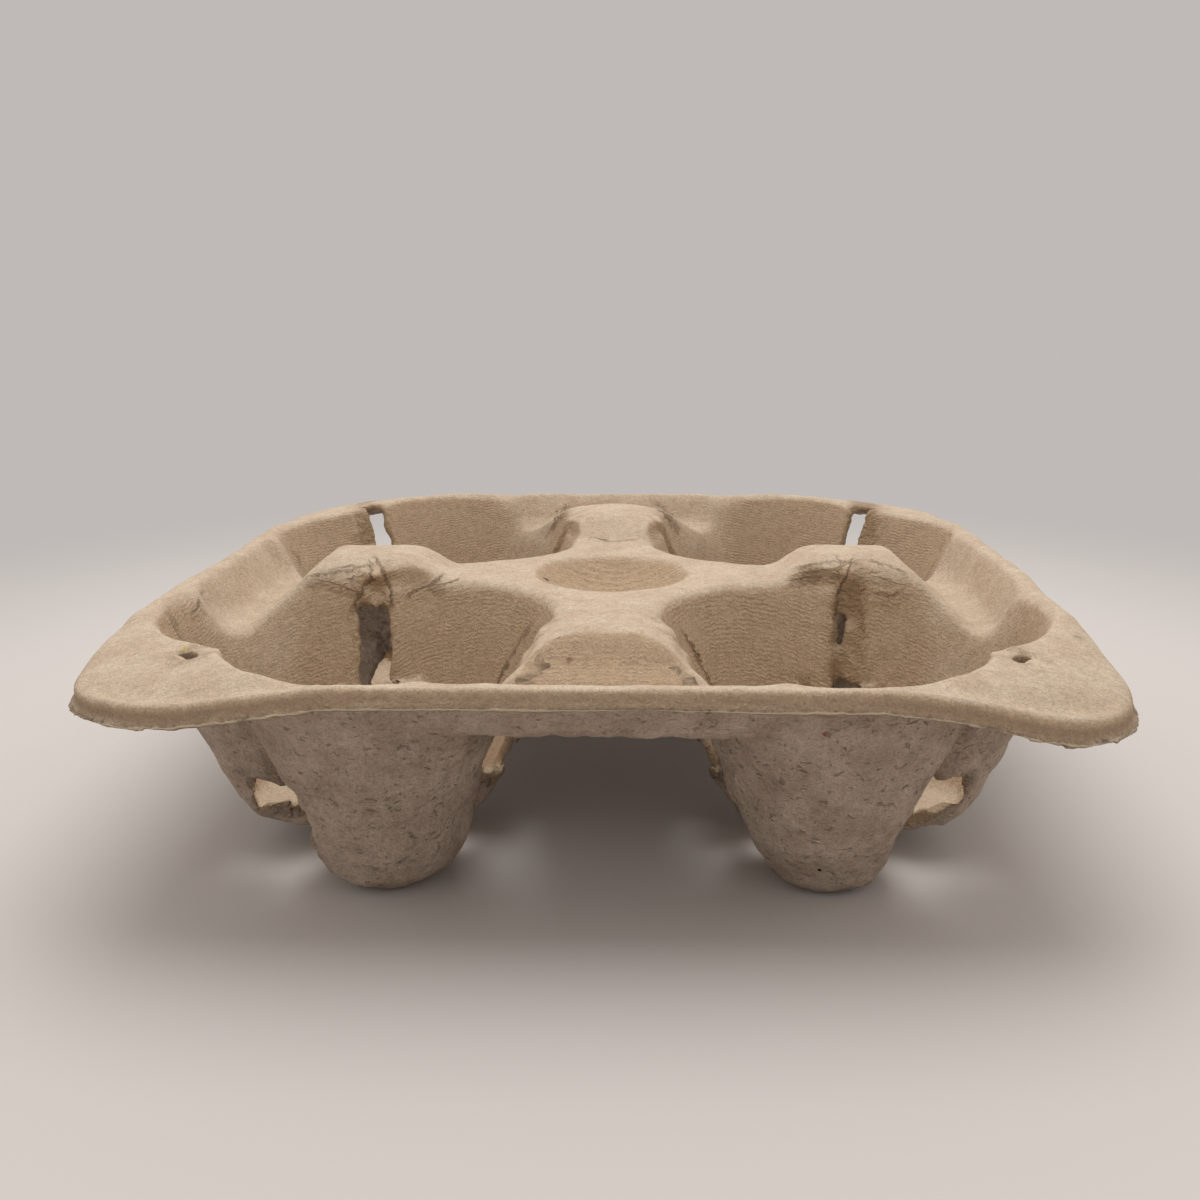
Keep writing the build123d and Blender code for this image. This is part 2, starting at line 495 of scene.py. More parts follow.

        # Colour: clouds, painted shade on the underside, the walls, the dimple and the front slope, then tone
        # with painted light and shade along the ripples, then the tints and the flecks
        clouded = node("MapRange", {"Value": cloud, 1: 0.3, 2: 0.7, 3: 0.0, 4: 0.5}, **soft)
        upper = node("Mix", {"Factor": clouded, "A": linear(self.light), "B": linear(self.dark)}, **colours)
        # painted shade on the walls, the dimple and the front slope
        upper = node("Mix", {"Factor": pressed, "A": upper, "B": linear(self.shaded_wall)}, **colours)
        # painted shade: the underside takes a greyer, darker copy of the pulp's colours
        clouded = node("MapRange", {"Value": cloud, 1: 0.3, 2: 0.7}, **soft)
        lower = node(
            "Mix", {"Factor": clouded, "A": linear(self.under), "B": linear(self.under_dark)}, **colours
        )
        # the side not open to the sky takes the painted-shade underside colours
        colour = node("Mix", {"Factor": screen, "A": lower, "B": upper}, **colours)
        shade = node("MapRange", {"Value": mottle, 1: 0.25, 2: 0.75, 3: 0.86, 4: 1.08}, **soft)
        grain = node("MapRange", {"Value": fibre, 1: 0.2, 2: 0.8, 3: 0.78, 4: 1.16}, **soft)
        # painted shade in the ripple grooves and painted light on their crests
        ripple_shading = node("MapRange", {"Value": ripple, 1: -1.0, 2: 1.0, 3: 0.92, 4: 1.05})
        tone = node("Math", {0: shade, 1: grain}, **times)
        tone = node("Math", {0: tone, 1: ripple_shading}, **times)
        grey = node("CombineColor", {0: tone, 1: tone, 2: tone})
        colour = node("Mix", {"Factor": 1.0, "A": colour, "B": grey}, blend_type="MULTIPLY", **colours)
        # painted shade on the torn edges of the upper side
        torn = node("Math", {0: frayed_and_shaded, 1: screen}, **times)
        # the lip, torn-edge and crack tints are painted shade and the flash tint a painted highlight; slits
        # and specks are the pulp's own
        for mask, tint in (
            (lip, self.lip_shade), (torn, self.frayed_and_shaded), (slit, self.slit), (specks, self.speck),
            (split, self.crack), (flash, self.flash),
        ):
            share = node("Math", {0: mask, 1: tint.strength}, **times)
            colour = node("Mix", {"Factor": share, "A": colour, "B": linear(tint.colour)}, **colours)
        # flecks: coloured fibres, and painted shade in a dent and a pinhole
        for spot, fleck in flecks:
            away = node("VectorMath", {0: strayed, 1: spot}, operation="DISTANCE")
            inside = node("Math", {0: away, 1: fleck.radius * MM}, operation="LESS_THAN")
            colour = node("Mix", {"Factor": inside, "A": colour, "B": linear(fleck.colour)}, **colours)

        # Relief in millimetres, added up from the fibres to the flash
        coarse = node("MapRange", {"Value": felt, 3: self.lump_height[0], 4: self.lump_height[1]})
        rough = node("Math", {0: felt, 1: lip}, operation="MAXIMUM")
        rough = node("MapRange", {"Value": rough, 3: self.mottle_height[0], 4: self.mottle_height[1]})
        shreds = node("Math", {0: frayed_and_shaded, 1: mottle}, **times)
        relief = node("Math", {0: fibre, 1: self.fibre_height}, **times)
        for height, depth in (
            (mottle, rough), (lump, coarse), (shreds, self.frayed_height), (ripple, self.ripple_depth / 2),
            (slit, -self.slit_depth), (split, -self.crack_depth), (lift, self.crack_lift),
            (flash, self.flash_height),
        ):
            relief = node("Math", {0: height, 1: depth, 2: relief}, **plus)
        bump = node("Bump", {"Height": relief, "Strength": 1.0, "Distance": MM})
        result = next(socket for socket in colour.outputs if not socket.is_unavailable)
        tree.links.new(result, shader.inputs["Base Color"])
        tree.links.new(bump.outputs[0], shader.inputs["Normal"])
        return pulp


class Filling(Enum):
    """How pulp that the press left fills a slot, or stands torn at a window."""

    FLAP = "flap"
    WEB = "web"
    SEAM = "seam"
    BRIDGE = "bridge"
    SILL = "sill"


class Slot(IntEnum):
    """A pocket's slots: towards the side ridge, towards the front or rear ridge, and to the corner."""

    SIDE = 0
    END = 1
    CORNER = 2


@dataclass(frozen=True)
class Window:
    """One slot of a pocket with the torn window at its lower end, in millimetres and degrees.

    The cones on its two sides stand around an axis that lies cone_out along the slot and
    cone_side beside it.
    """

    angle: float
    slot_width: float
    reach: float
    low: float
    high: float
    cone_out: float
    cone_side: float
    width: float = 20.0


@dataclass(frozen=True)
class SlotPulp:
    """Pulp in one slot: its pocket and slot, its heights, how far it stands back, and its width."""

    filling: Filling
    side: int
    end: int
    slot: Slot
    low: float
    high: float
    back: float
    width: float
    shift: float = 0.0
    depth: float = 2.4
    ragged: float = 0.0
    lumpy: float = 0.5


def slot_fillings() -> tuple[SlotPulp, ...]:
    """Lists the pulp left in the slots and at the windows, as the press and the tears left it."""
    flap, web, seam, bridge, sill = Filling
    fillings = [
        SlotPulp(flap, -1, -1, Slot.SIDE, 47.5, 55.0, 1.4, 10.0, depth=3.2, ragged=1.8, lumpy=1.7),
        SlotPulp(web, 1, -1, Slot.SIDE, 24.0, 56.5, 2.4, 10.0, ragged=0.8, lumpy=2.1),
        SlotPulp(seam, 1, 1, Slot.SIDE, 15.0, 50.0, 3.0, 10.0, ragged=0.8),
        SlotPulp(seam, -1, 1, Slot.SIDE, 27.0, 50.0, 3.0, 10.0, ragged=0.8),
        SlotPulp(sill, 1, 1, Slot.SIDE, 20.0, 29.5, 0.3, 22.0, ragged=0.6),
        SlotPulp(sill, -1, 1, Slot.SIDE, 21.5, 29.5, 0.3, 22.0, ragged=0.6),
    ]
    for side, end in POCKETS:
        fillings += [
            SlotPulp(seam, side, end, Slot.END, 27.5, 54.0, 3.2, 10.0, ragged=0.6),
            SlotPulp(sill, side, end, Slot.END, 11.0, 15.0, 0.3, 21.0, ragged=1.8),
            SlotPulp(sill, side, end, Slot.CORNER, 8.0, 11.8, 0.3, 21.0, ragged=1.8),
        ]
        if end > 0:
            fillings.append(SlotPulp(bridge, side, end, Slot.END, 46.0, 54.6, 6.0, 9.5, depth=9.0, lumpy=0.2))
        else:
            fillings += [
                SlotPulp(sill, side, end, Slot.END, 13.5, 28.0, 0.8, 13.0, shift=-4.5, ragged=1.6),
                SlotPulp(seam, side, end, Slot.CORNER, 20.0, 50.0, 0.2, 9.0, ragged=0.8),
                SlotPulp(bridge, side, end, Slot.CORNER, 51.8, 54.4, 1.2, 8.0, depth=5.0, lumpy=0.2),
            ]
    return tuple(fillings)


@dataclass(frozen=True)
class Tear:
    """A torn hole: its outline as the picture shows it, and where it starts and ends from front to back."""

    outline: tuple[Pixel, ...]
    front: float
    back: float


@dataclass(frozen=True)
class Crack:
    """A crack or seam in the sheet: its course as the picture shows it, its width, and a layer of its own.

    Cracks that run close to each other are in different layers.
    """

    course: tuple[Pixel, ...]
    width: float = 1.0
    layer: int = 0


@dataclass(frozen=True)
class Flank:
    """How far the side of a front cone stands in from the slot beside it."""

    side: int
    slot: Slot
    inset: float
    sign: int


@dataclass(frozen=True)
class DryingWarp:
    """How the sheet bent as it dried: how far each part of it moved, in millimetres."""

    right_corner_drop: float = 4.0
    left_corner_drop: float = 0.6
    rear_rise: float = 0.7
    rear_corner_rise: float = 1.9
    front_bump_drop: float = 2.4
    rear_trough_rise: float = 3.0
    front_rim_dip: float = 0.9
    left_tip_push: float = 2.2
    right_side_pull: float = 3.4
    right_tip_share: float = 1.15
    waves: tuple[Lumps, ...] = (Lumps(0.45, 38.0, 11), Lumps(0.45, 38.0, 12), Lumps(0.45, 38.0, 13))

    def bend(self, points: Array, inside: Array) -> Array:
        """Bends the sheet.

        Args:
            points: The sheet's points in millimetres.
            inside: How far each one lies inside the tray's outline.

        Returns:
            The moved points.
        """
        moved = points.copy()
        x, y, z = points.T
        wide, front = np.abs(x), -y
        high = ease(z, 25.0, 48.0)
        right_corner, left_corner = ease(x + front, 168.0, 206.0), ease(front - x, 168.0, 206.0)
        moved[:, 2] -= (self.right_corner_drop * right_corner + self.left_corner_drop * left_corner) * high
        rear_corners = self.rear_corner_rise * ease(wide, 30.0, 85.0)
        moved[:, 2] += (self.rear_rise + rear_corners) * ease(y, 60.0, 100.0) * high
        bump = ease(z, 48.0, 54.0) * (1 - ease(wide, 16.0, 34.0)) * between(front, (40.0, 52.0), (84.0, 94.0))
        moved[:, 2] -= self.front_bump_drop * bump
        trough = between(y, (72.0, 84.0), (98.0, 106.0)) * (1 - ease(wide, 26.0, 40.0)) * ease(z, 36.0, 40.0)
        moved[:, 2] += self.rear_trough_rise * trough
        rim = between(inside, (2.0, 4.5), (6.0, 11.0)) * ease(front, 90.0, 98.0)
        moved[:, 2] -= self.front_rim_dip * rim * high
        moved[:, 0] -= self.left_tip_push * ease(-x, 84.0, 102.0) * ease(front, 82.0, 98.0) * high
        side = ease(front, 0.0, 45.0) * (1 - self.right_tip_share * ease(front, 72.0, 98.0))
        moved[:, 0] -= self.right_side_pull * ease(x, 66.0, 104.0) * side * high
        for axis, wave in enumerate(self.waves):
            moved[:, axis] += wave.at(points) * ease(z, 2.0, 14.0)
        return moved


@dataclass
class Carrier:
    """The pressed pulp sheet with its pockets, ridges and feet, in millimetres and degrees."""

    node: str = "carrier_tray"
    slot: str = "moulded_pulp"
    voxel: float = 0.72
    merge: float = 0.001
    plate_cuts: int = 15
    plate_shift: Span = (40.0, 17.0)
    edge_rounds: int = 3
    ridge_rounds: int = 45
    ridge_steps: int = 10
    triangles: int = 185000
    half: float = 108.5
    corner_radius: float = 34.0
    half_wall: float = 1.3
    rim_height: float = 55.5
    lip_drop: float = 4.7
    lip_hollow: float = 1.1
    flash_share: float = 0.85
    flash_start: float = 1.4
    flash_full: float = 0.7
    fall_start: float = 111.86
    fall_slope: float = 0.1763
    pocket_offset: float = 52.92
    lobe_offset: float = 17.5
    hub_lobe_offset: float = 14.0
    foot_radius: float = 11.6
    foot_swell: float = 1.6
    foot_lean: float = 1.8
    foot_lift: float = 1.1
    spread: float = 0.4262
    hub_lobe_angle: float = 45.0
    side_lobe_angle: float = 162.0
    front_lobe_angle: float = 288.0
    dimple_radius: float = 20.9
    dimple_ripple: float = 3.0
    dimple_sag: float = 0.012
    dimple_fold: float = 0.22
    ripple_rise: float = 0.35
    ripple_round: float = 22.0
    ripple_shift: float = 7.0
    crack_reach: float = 34.0
    cone_near: float = 3.0
    far: float = 99.0
    crack_far: float = 9.0
    pit_level: float = 0.5
    pit_depth: float = 1.3
    ray_lift: float = 0.4
    side_fray: float = 0.7
    # how much less painted shade the trough walls take
    trough_less_shade: float = 0.7
    plate_lumps: tuple[Lumps, ...] = (Lumps(1.0, 5.0, 51), Lumps(0.7, 2.2, 52))
    plate_edge: tuple[Lumps, ...] = (Lumps(1.0, 3.4, 53), Lumps(0.7, 1.5, 54))
    flash_edge: Lumps = Lumps(0.3, 9.0, 23)
    lip_edge: tuple[Lumps, ...] = (Lumps(0.4, 16.0, 21), Lumps(0.3, 2.6, 22))
    ragged: tuple[Lumps, ...] = (Lumps(1.7, 5.5, 31), Lumps(1.1, 2.6, 32), Lumps(0.6, 1.3, 35))
    splay: tuple[Lumps, ...] = (Lumps(0.9, 3.6, 36), Lumps(0.5, 1.5, 37))
    wavy: tuple[Lumps, ...] = (Lumps(0.6, 4.0, 33), Lumps(0.35, 1.8, 34))
    shred: Lumps = Lumps(0.8, 1.9, 38)
    fringe: Lumps = Lumps(0.7, 1.7, 39)
    under_lumps: tuple[Lumps, ...] = (Lumps(0.45, 4.6, 41), Lumps(0.32, 2.2, 42))
    upper_lumps: tuple[Lumps, ...] = (Lumps(0.2, 7.0, 43), Lumps(0.1, 2.6, 44))
    pits: Lumps = Lumps(1.0, 2.4, 45)
    folds: Lumps = Lumps(1.6, 9.0, 46)
    windows: tuple[Window, ...] = (
        Window(102.0, slot_width=7.5, reach=38.5, low=15.0, high=27.0, cone_out=8.2, cone_side=13.4),
        Window(348.0, slot_width=7.5, reach=38.5, low=15.0, high=27.0, cone_out=8.2, cone_side=13.4),
        Window(225.0, slot_width=6.0, reach=44.0, low=11.5, high=21.0, cone_out=7.94, cone_side=15.6),
    )
    fillings: tuple[SlotPulp, ...] = field(default_factory=slot_fillings)
    flanks: tuple[Flank, ...] = (
        Flank(-1, Slot.CORNER, 2.8, 1), Flank(1, Slot.CORNER, 3.4, -1), Flank(-1, Slot.END, 1.6, -1),
    )
    # The windows at the two front corners, those under the front ridge, then the holes in the side slots
    tears: tuple[Tear, ...] = (
        Tear(((249.6, 784), (260, 778), (273.6, 776), (286, 781), (290, 787), (297, 792), (303, 791),
              (310, 801), (297, 799), (292, 801), (287, 807), (277, 806.5), (268, 804), (260, 807),
              (256.5, 801), (253, 792)), front=-84.0, back=-52.0),
        Tear(((913, 785), (923.6, 780), (932, 781.5), (942.6, 777), (956, 777), (963, 783), (964.5, 791),
              (959, 802), (951, 810), (942.6, 808), (933, 813), (926, 808), (918, 802), (910, 808),
              (899, 810), (896, 808), (907, 795)), front=-84.0, back=-52.0),
        Tear(((484, 732), (516, 732), (516, 745), (512, 754), (506, 761), (499, 766), (491, 772),
              (485, 773), (476, 770), (481, 760)), front=-78.0, back=-44.0),
        Tear(((701, 732), (715, 732), (715, 742), (719, 758), (726, 773), (716, 768), (706, 763),
              (704, 751)), front=-78.0, back=-44.0),
        Tear(((368, 685), (376, 668), (383, 656), (398, 648), (398, 688)), front=15.0, back=45.0),
        Tear(((838, 612), (846, 616), (845, 630), (841, 652), (836, 650), (837, 630)),
             front=-30.0, back=-6.0),
        Tear(((834, 694), (837, 679), (850, 680), (849, 694)), front=-30.0, back=-6.0),
    )
    # Cracks on the left bump, the right bump, the left trough and the front ridge, then at the rear bump
    cracks: tuple[Crack, ...] = (
        Crack(((308, 577), (330, 573), (352, 571), (358, 565), (372, 566)), 1.2),
        Crack(((326, 570), (350, 566)), 0.8, 2),
        Crack(((377, 560), (384, 572), (390, 590), (392, 604)), 1.5, 1),
        Crack(((353, 606), (358, 595), (365, 585), (372, 578), (370, 567)), 1.6, 2),
        Crack(((314, 580), (332, 583), (350, 590)), 0.8, 1),
        Crack(((408, 596), (421, 588), (433, 584), (440, 577)), 1.3),
        Crack(((430, 585), (442, 586), (456, 580)), 0.8, 2),
        Crack(((802, 567), (828, 562), (850, 562)), 1.2),
        Crack(((806, 573), (836, 569), (850, 563)), 1.0, 1),
        Crack(((794, 580), (815, 577), (834, 578)), 0.8, 2),
        Crack(((875, 562), (890, 565), (903, 572)), 1.0, 1),
        Crack(((876, 577), (890, 580)), 0.8),
        Crack(((880, 594), (892, 597), (903, 590)), 1.3, 1),
        Crack(((851, 562), (846, 578), (838, 592), (836, 612)), 1.2, 2),
        Crack(((194, 612), (198, 606), (201, 596))),
        Crack(((498, 682), (508, 661), (520, 641), (530, 627)), 1.4),
        Crack(((710, 682), (698, 658), (686, 637)), 1.4),
        Crack(((566, 508), (557, 520), (552, 530)), 3.0),
        Crack(((660, 507), (668, 514), (676, 527)), 3.0),
        Crack(((596, 538), (612, 542), (622, 541)), 0.8),
    )
    flecks: tuple[Fleck, ...] = (
        Fleck((185, 649), 0.7, "#C9B44A"),
        Fleck((546, 580), 0.6, "#7A6550"),
        # painted shade in a dent
        Fleck((568, 660), 0.9, "#8E775D"),
        Fleck((823, 738), 0.5, "#A05A48"),
        # painted shade in a pinhole
        Fleck((820, 868), 0.6, "#2A231D"),
    )
    camera: PhotoCamera = field(default_factory=PhotoCamera)
    warp: DryingWarp = field(default_factory=DryingWarp)
    finish: PulpFinish = field(default_factory=PulpFinish)

    def pick(self, piece: Piece) -> None:
        """Selects one piece alone and makes it the active one."""
        bpy.ops.object.select_all(action="DESELECT")
        piece.select_set(True)
        bpy.context.view_layer.objects.active = piece

    def edit(self, piece: Piece, change: Callable, **settings) -> None:
        """Changes the whole mesh of one piece in edit mode."""
        self.pick(piece)
        bpy.ops.object.mode_set(mode="EDIT")
        bpy.ops.mesh.select_all(action="SELECT")
        change(**settings)
        bpy.ops.object.mode_set(mode="OBJECT")

    def copy_sheet(self) -> Piece:
        """Copies the node's mesh into a new piece and merges its loose triangles."""
        sheet = bpy.data.objects.new("pulp_sheet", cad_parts[self.node].data.copy())
        bpy.context.scene.collection.objects.link(sheet)
        self.edit(sheet, bpy.ops.mesh.remove_doubles, threshold=self.merge * MM)
        return sheet

    def apply(self, sheet: Piece, kind: str, **settings) -> None:
        """Adds a modifier with its settings and applies it."""
        modifier = sheet.modifiers.new(kind.lower(), kind)
        for name, value in settings.items():
            setattr(modifier, name, value)
        bpy.ops.object.modifier_apply(modifier=modifier.name)

    def remesh(self, sheet: Piece) -> None:
        """Melts the sheet and what was joined to it into one skin of even faces."""
        self.apply(sheet, "REMESH", mode="VOXEL", voxel_size=self.voxel * MM, adaptivity=0.0)

    def slot_frame(self, side: int, end: int, window: Window) -> tuple[Array, Array, Array]:
        """Gives a pocket's middle and the outward and sideways directions of one of its slots."""
        turn = radians(window.angle)
        outward = np.array((-side * cos(turn), -end * sin(turn)))
        return np.array((side, end)) * self.pocket_offset, outward, np.array((-outward[1], outward[0]))

    def slot_places(self, points: Array, side: int, end: int, window: Window) -> tuple[Array, ...]:
        """Measures how far each point lies along a slot and beside it, and gives those two directions."""
        middle, outward, across = self.slot_frame(side, end, window)
        flat = points[:, :2] - middle
        return flat @ outward, flat @ across, outward, across

    def fill_slot(self, sheet: Piece, pulp: SlotPulp) -> None:
        """Models the pulp in one slot as a lumpy plate that follows the cones, and joins it to the sheet.

        Args:
            sheet: The piece that takes the pulp.
            pulp: Which slot it fills, and how.
        """
        bpy.ops.object.select_all(action="DESELECT")
        bpy.ops.mesh.primitive_cube_add(size=1.0)
        plate = bpy.context.object
        self.edit(plate, bpy.ops.mesh.subdivide, number_cuts=self.plate_cuts)
        window = self.windows[pulp.slot]
        middle, outward, across = self.slot_frame(pulp.side, pulp.end, window)
        depth, sideways, height = (self.points(plate) * MM).T
        aside = sideways * pulp.width + pulp.side * pulp.shift
        edge = np.column_stack((aside, np.zeros((len(aside), 2))))
        edge += self.plate_shift[0] * pulp.side + self.plate_shift[1] * pulp.end + pulp.low
        torn = pulp.ragged * heap(edge, self.plate_edge)
        level = pulp.low + (height + 0.5) * (pulp.high - pulp.low) + (height + 0.5) * torn
        radius = self.foot_radius - self.half_wall + self.spread * level
        swing = np.maximum(radius**2 - (window.cone_side - np.abs(aside)) ** 2, 1.0)
        reach = window.cone_out + np.sqrt(swing) + pulp.back + depth * pulp.depth
        spots = np.column_stack((middle + reach[:, None] * outward + aside[:, None] * across, level))
        spots[:, :2] += pulp.lumpy * heap(spots, self.plate_lumps)[:, None] * outward
        self.move(plate, spots)
        sheet.select_set(True)
        bpy.context.view_layer.objects.active = sheet
        bpy.ops.object.join()

    def set_feet(self, points: Array) -> Array:
        """Leans the left foot out, lifts the side feet, fills out one front foot and draws in the cones."""
        moved = points.copy()
        x, y, z = points.T
        left = ease(-x, 60.0, 85.0) * ease(-y, 10.0, 40.0) * (1 - ease(z, 30.0, 46.0))
        moved[:, 0] -= self.foot_lean * left
        outer = ease(np.abs(x) - np.abs(y), 4.0, 14.0) * ease(-y, 20.0, 34.0)
        moved[:, 2] += self.foot_lift * outer * (1 - ease(z, 6.0, 16.0))
        turn = radians(self.front_lobe_angle)
        arm = points[:, :2] + self.pocket_offset - self.lobe_offset * np.array((cos(turn), sin(turn)))
        radius = np.linalg.norm(arm, axis=1)
        full = between(z, (1.0, 6.0), (9.0, 20.0)) * (1 - ease(radius, 22.0, 28.0))
        moved[:, :2] += self.foot_swell * full[:, None] * arm / np.maximum(radius, 1.0)[:, None]
        for flank in self.flanks:
            reach, beside, _, across = self.slot_places(points, flank.side, -1, self.windows[flank.slot])
            share = between(flank.sign * beside, (-1.0, 3.5), (9.0, 20.0)) * (reach > 8)
            share *= between(z, (5.0, 14.0), (42.0, 50.0)) * flank.inset * flank.sign
            moved[:, :2] += share[:, None] * across
        return moved

    def cut_tears(self, sheet: Piece) -> None:
        """Cuts the torn holes along the lines of sight that show them."""
        corners, faces = [], []
        for tear in self.tears:
            first, count = len(corners), len(tear.outline)
            for depth in (tear.front, tear.back):
                for pixel in tear.outline:
                    start, way = self.camera.ray(pixel)
                    corners.append(start + way * ((depth * MM - start.y) / way.y))
            rear = first + count
            faces += [tuple(range(first, rear)), tuple(range(rear, rear + count))]
            for here in range(count):
                after = (here + 1) % count
                faces.append((first + here, rear + here, rear + after, first + after))
        mesh = bpy.data.meshes.new("torn_holes")
        mesh.from_pydata(corners, [], faces)
        cutter = bpy.data.objects.new("torn_holes", mesh)
        bpy.context.scene.collection.objects.link(cutter)
        self.edit(cutter, bpy.ops.mesh.normals_make_consistent, inside=False)
        self.pick(sheet)
        self.apply(sheet, "BOOLEAN", operation="DIFFERENCE", object=cutter, solver="MANIFOLD")
        bpy.data.objects.remove(cutter)

    def slot_share(self, points: Array) -> Array:
        """Finds how near each point is to a slot, from zero away from it to one in it."""
        share = np.zeros(len(points))
        for side, end in POCKETS:
            for window in self.windows:
                reach, beside, _, _ = self.slot_places(points, side, end, window)
                within = (reach > 10) * (1 - ease(reach, window.reach, window.reach + 5))
                share = np.maximum(share, within * (1 - ease(np.abs(beside), 4.5, 8.5)))
        return share

    def round_ridges(self, sheet: Piece) -> None:
        """Softens the bumps and the troughs, where the wet sheet was pressed least."""
        points = self.points(sheet)
        flat = np.abs(points[:, :2])
        share = between(flat.max(axis=1), (30.0, 42.0), (100.0, 105.0))
        share *= 1 - ease(flat.min(axis=1), 36.0, 48.0)
        share *= ease(points[:, 2], 34.0, 42.0) * (1 - self.slot_share(points))
        group = sheet.vertex_groups.new(name="ridges")
        for level in range(1, self.ridge_steps + 1):
            chosen = np.flatnonzero(np.round(share * self.ridge_steps) == level)
            group.add(chosen.tolist(), level / self.ridge_steps, "REPLACE")
        self.apply(sheet, "SMOOTH", factor=0.5, iterations=self.ridge_rounds, vertex_group="ridges")
        sheet.vertex_groups.clear()

    def points(self, sheet: Piece) -> Array:
        """Reads the sheet's points in millimetres."""
        flat = np.empty(len(sheet.data.vertices) * 3)
        sheet.data.vertices.foreach_get("co", flat)
        return flat.reshape(-1, 3) / MM

    def normals(self, sheet: Piece) -> Array:
        """Reads the sheet's point normals."""
        flat = np.empty(len(sheet.data.vertices) * 3)
        sheet.data.vertex_normals.foreach_get("vector", flat)
        return flat.reshape(-1, 3)

    def move(self, sheet: Piece, points: Array) -> None:
        """Writes the sheet's points back, in millimetres."""
        sheet.data.vertices.foreach_set("co", (points * MM).ravel())
        sheet.data.update()

    def edge_distance(self, points: Array) -> Array:
        """Measures how far each point lies inside the tray's rounded square outline."""
        corner = np.abs(points[:, :2]) - (self.half - self.corner_radius)
        outside = np.linalg.norm(np.maximum(corner, 0.0), axis=1)
        return self.corner_radius - outside - np.minimum(corner.max(axis=1), 0.0)

    def rim_level(self, points: Array) -> Array:
        """Gives the height of the rim's top above each point, falling at the corners."""
        diagonal = np.abs(points[:, :2]).sum(axis=1) / np.sqrt(2)
        return self.rim_height - self.fall_slope * np.maximum(diagonal - self.fall_start, 0.0)

    def upper_share(self, tree: BVHTree, points: Array, normals: Array) -> Array:
        """Finds which points lie on the sheet's upper side, open to the sky.

        Args:
            tree: The sheet's faces.
            points: Its points in millimetres.
            normals: Its point normals.

        Returns:
            One for the upper side and zero for the underside.
        """
        starts = (points + self.ray_lift * normals) * MM
        up = Vector((0.0, 0.0, 1.0))
        clear = np.array([tree.ray_cast(Vector(start), up)[0] is None for start in starts], dtype=float)
        return np.maximum(clear, ease(normals[:, 2], 0.2, 0.4) * ease(points[:, 2], 36.0, 40.0))

    def lip_face(self, points: Array, normals: Array) -> tuple[Array, Array]:
        """Finds the lip's outer face, which belongs to the sheet's upper side.

        Args:
            points: The sheet's points in millimetres, before it bends.
            normals: Its point normals.

        Returns:
            How far each point is on the face, from zero to one, and how far down the lip it lies.
        """
        flat = self.half - self.corner_radius
        arm = points[:, :2] - np.clip(points[:, :2], -flat, flat)
        facing = (normals[:, :2] * arm).sum(axis=1) / np.maximum(np.linalg.norm(arm, axis=1), 1.0)
        drop = (self.rim_level(points) - points[:, 2]) / self.lip_drop
        near = (1 - ease(self.edge_distance(points), 3.4, 5.0)) * (1 - ease(drop, 1.15, 1.3))
        return near * ease(facing, 0.0, 0.35), np.clip(drop, 0.0, 1.2)

    def dry(self, points: Array) -> Array:
        """Bends the sheet as it dried."""
        return self.warp.bend(points, self.edge_distance(points))

    def roll_lip(self, points: Array) -> Array:
        """Hollows the lip's face and leaves a thin uneven flash along its lower edge."""
        moved = points.copy()
        inside = self.edge_distance(points)
        drop = self.rim_level(points) - points[:, 2]
        skirt = (1 - ease(inside, 3.2, 6.5)) * ease(drop, 0.0, 3.0)
        flash = ease(drop, self.lip_drop - self.flash_start, self.lip_drop - self.flash_full)
        flash *= self.flash_share + self.flash_edge.at(points)
        moved[:, :2] *= (1 - self.lip_hollow * skirt * (1 - flash) / self.half)[:, None]
        lower = (1 - ease(inside, 2.0, 4.0)) * ease(drop, self.lip_drop - 2.0, self.lip_drop)
        moved[:, 2] += lower * heap(points, self.lip_edge)
        return moved

    def tear(self, points: Array) -> tuple[Array, Array]:
        """Frays the edges of the slots and windows.

        Args:
            points: The sheet's points in millimetres.

        Returns:
            The moved points, and how torn each one is from zero to one, which places the torn edges' relief
            and their painted shade.
        """
        moved = points.copy()
        z = points[:, 2]
        frayed_and_shaded = np.zeros(len(points))
        ragged, splay, wavy = (heap(points, lumps) for lumps in (self.ragged, self.splay, self.wavy))
        shred, fringe = self.shred.at(points), self.fringe.at(points)
        for side, end in POCKETS:
            for window in self.windows:
                reach, beside, outward, across = self.slot_places(points, side, end, window)
                sideways = np.abs(beside)
                near = (reach > 6) & (reach < window.reach + 5)
                over = np.abs(z - (window.low + window.high) / 2) - (window.high - window.low) / 2
                past = sideways - window.width / 2
                gap = np.hypot(np.maximum(over, 0), np.maximum(past, 0))
                gap += np.minimum(np.maximum(over, past), 0)
                close = near * (1 - ease(np.abs(gap), 0.8, 4.2))
                moved[:, 2] += close * (np.abs(over) < 4) * (past < 2) * ragged
                push = close * ((np.abs(past) < 4) * ragged * self.side_fray)
                moved[:, :2] += push[:, None] * across + (close * splay)[:, None] * outward
                zone = near * (1 - ease(gap, 3.0, 5.5))
                moved[:, 2] += zone * shred
                moved[:, :2] += (zone * fringe)[:, None] * across
                slit = near * (1 - ease(np.abs(sideways - window.slot_width / 2), 0.4, 2.0))
                slit *= z > window.high
                moved[:, :2] += (slit * wavy)[:, None] * across
                torn = near * (1 - ease(np.abs(gap), 0.6, 2.4))
                frayed_and_shaded = np.maximum(frayed_and_shaded, np.maximum(torn, 0.5 * slit))
        for pulp in self.fillings:
            if pulp.filling in (Filling.FLAP, Filling.WEB):
                reach, beside, _, _ = self.slot_places(points, pulp.side, pulp.end, self.windows[pulp.slot])
                inside = (1 - ease(np.abs(beside), 3.4, 5.0)) * (reach > 20)
                inside *= between(z, (pulp.low - 3, pulp.low), (pulp.high, pulp.high + 1.5))
                frayed_and_shaded = np.maximum(frayed_and_shaded, inside)
        return moved, frayed_and_shaded

